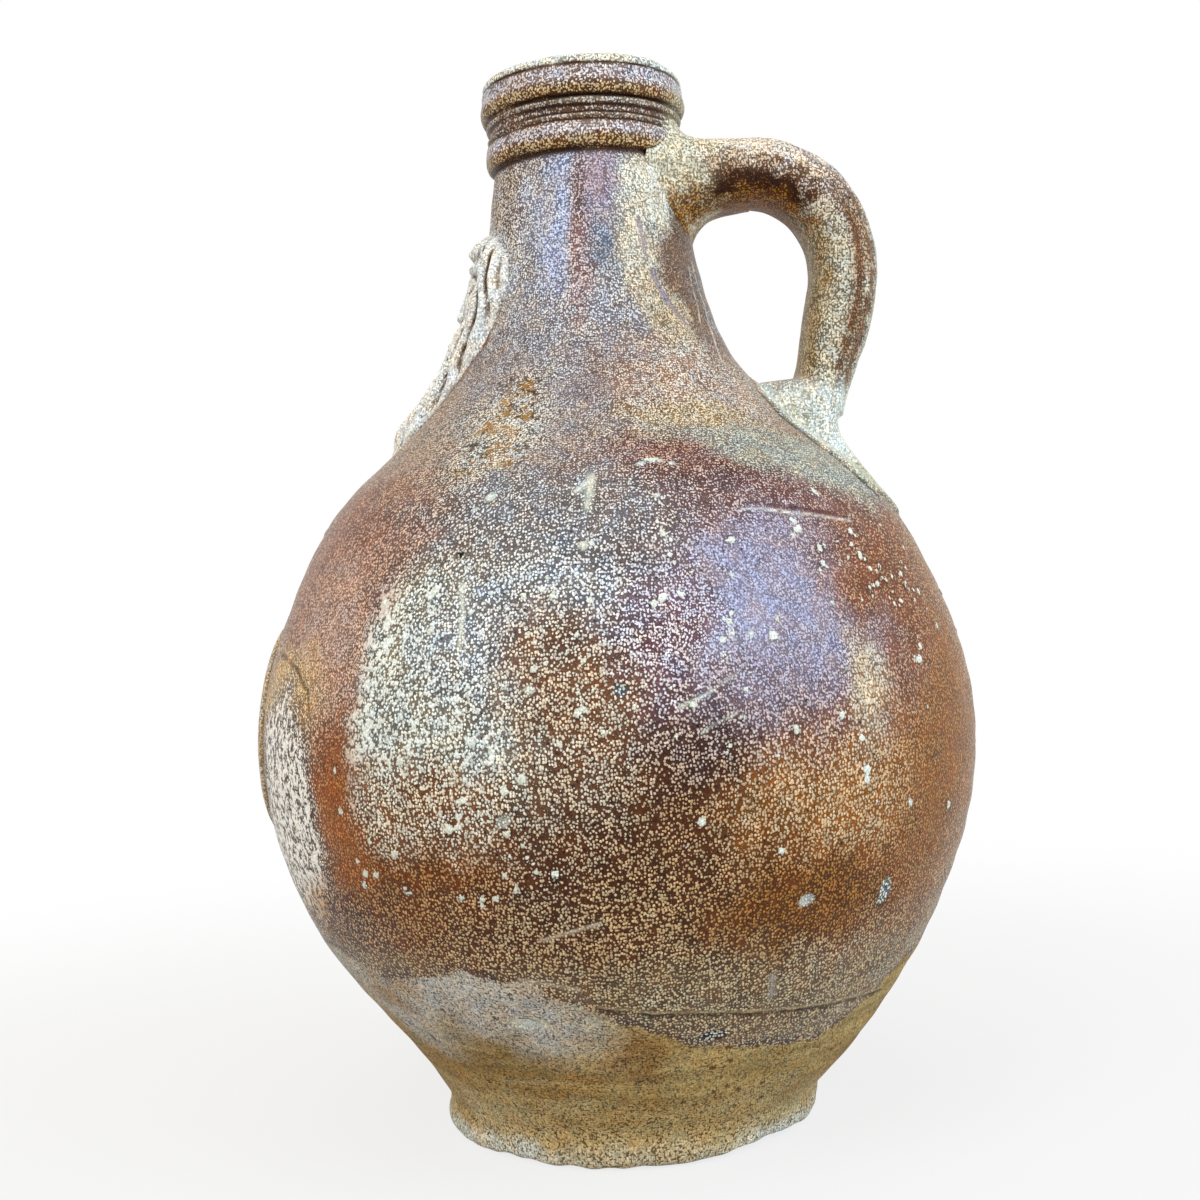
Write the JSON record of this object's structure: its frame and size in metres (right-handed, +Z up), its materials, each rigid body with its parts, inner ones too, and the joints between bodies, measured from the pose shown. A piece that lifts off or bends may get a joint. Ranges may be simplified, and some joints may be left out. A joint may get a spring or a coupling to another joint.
{
  "type": "bartmann jug",
  "caption": "Round-bellied stoneware jug with a narrow corked neck, a cordoned rim, a luted strap handle, a moulded bearded mask and an oval belly medallion.",
  "frame": {"origin": "centre of the foot on the surface that the jug stands on", "axes": "+Z up along the axis of the jug, +X towards the handle, -X towards the face mask and the medallion"},
  "size_m": [0.1541, 0.1524, 0.225],
  "materials": {
    "body_glaze": "mottled brown salt glaze with orange-peel texture",
    "handle_glaze": "worn tan and brown salt glaze",
    "mask_glaze": "thin pale grey-tan salt glaze on a moulded relief",
    "medallion_glaze": "mottled brown salt glaze on a moulded relief"
  },
  "bodies": {
    "root": {"vessel": "body_glaze", "handle": "handle_glaze", "face_mask": "mask_glaze", "medallion": "medallion_glaze"}
  },
  "joints": []
}
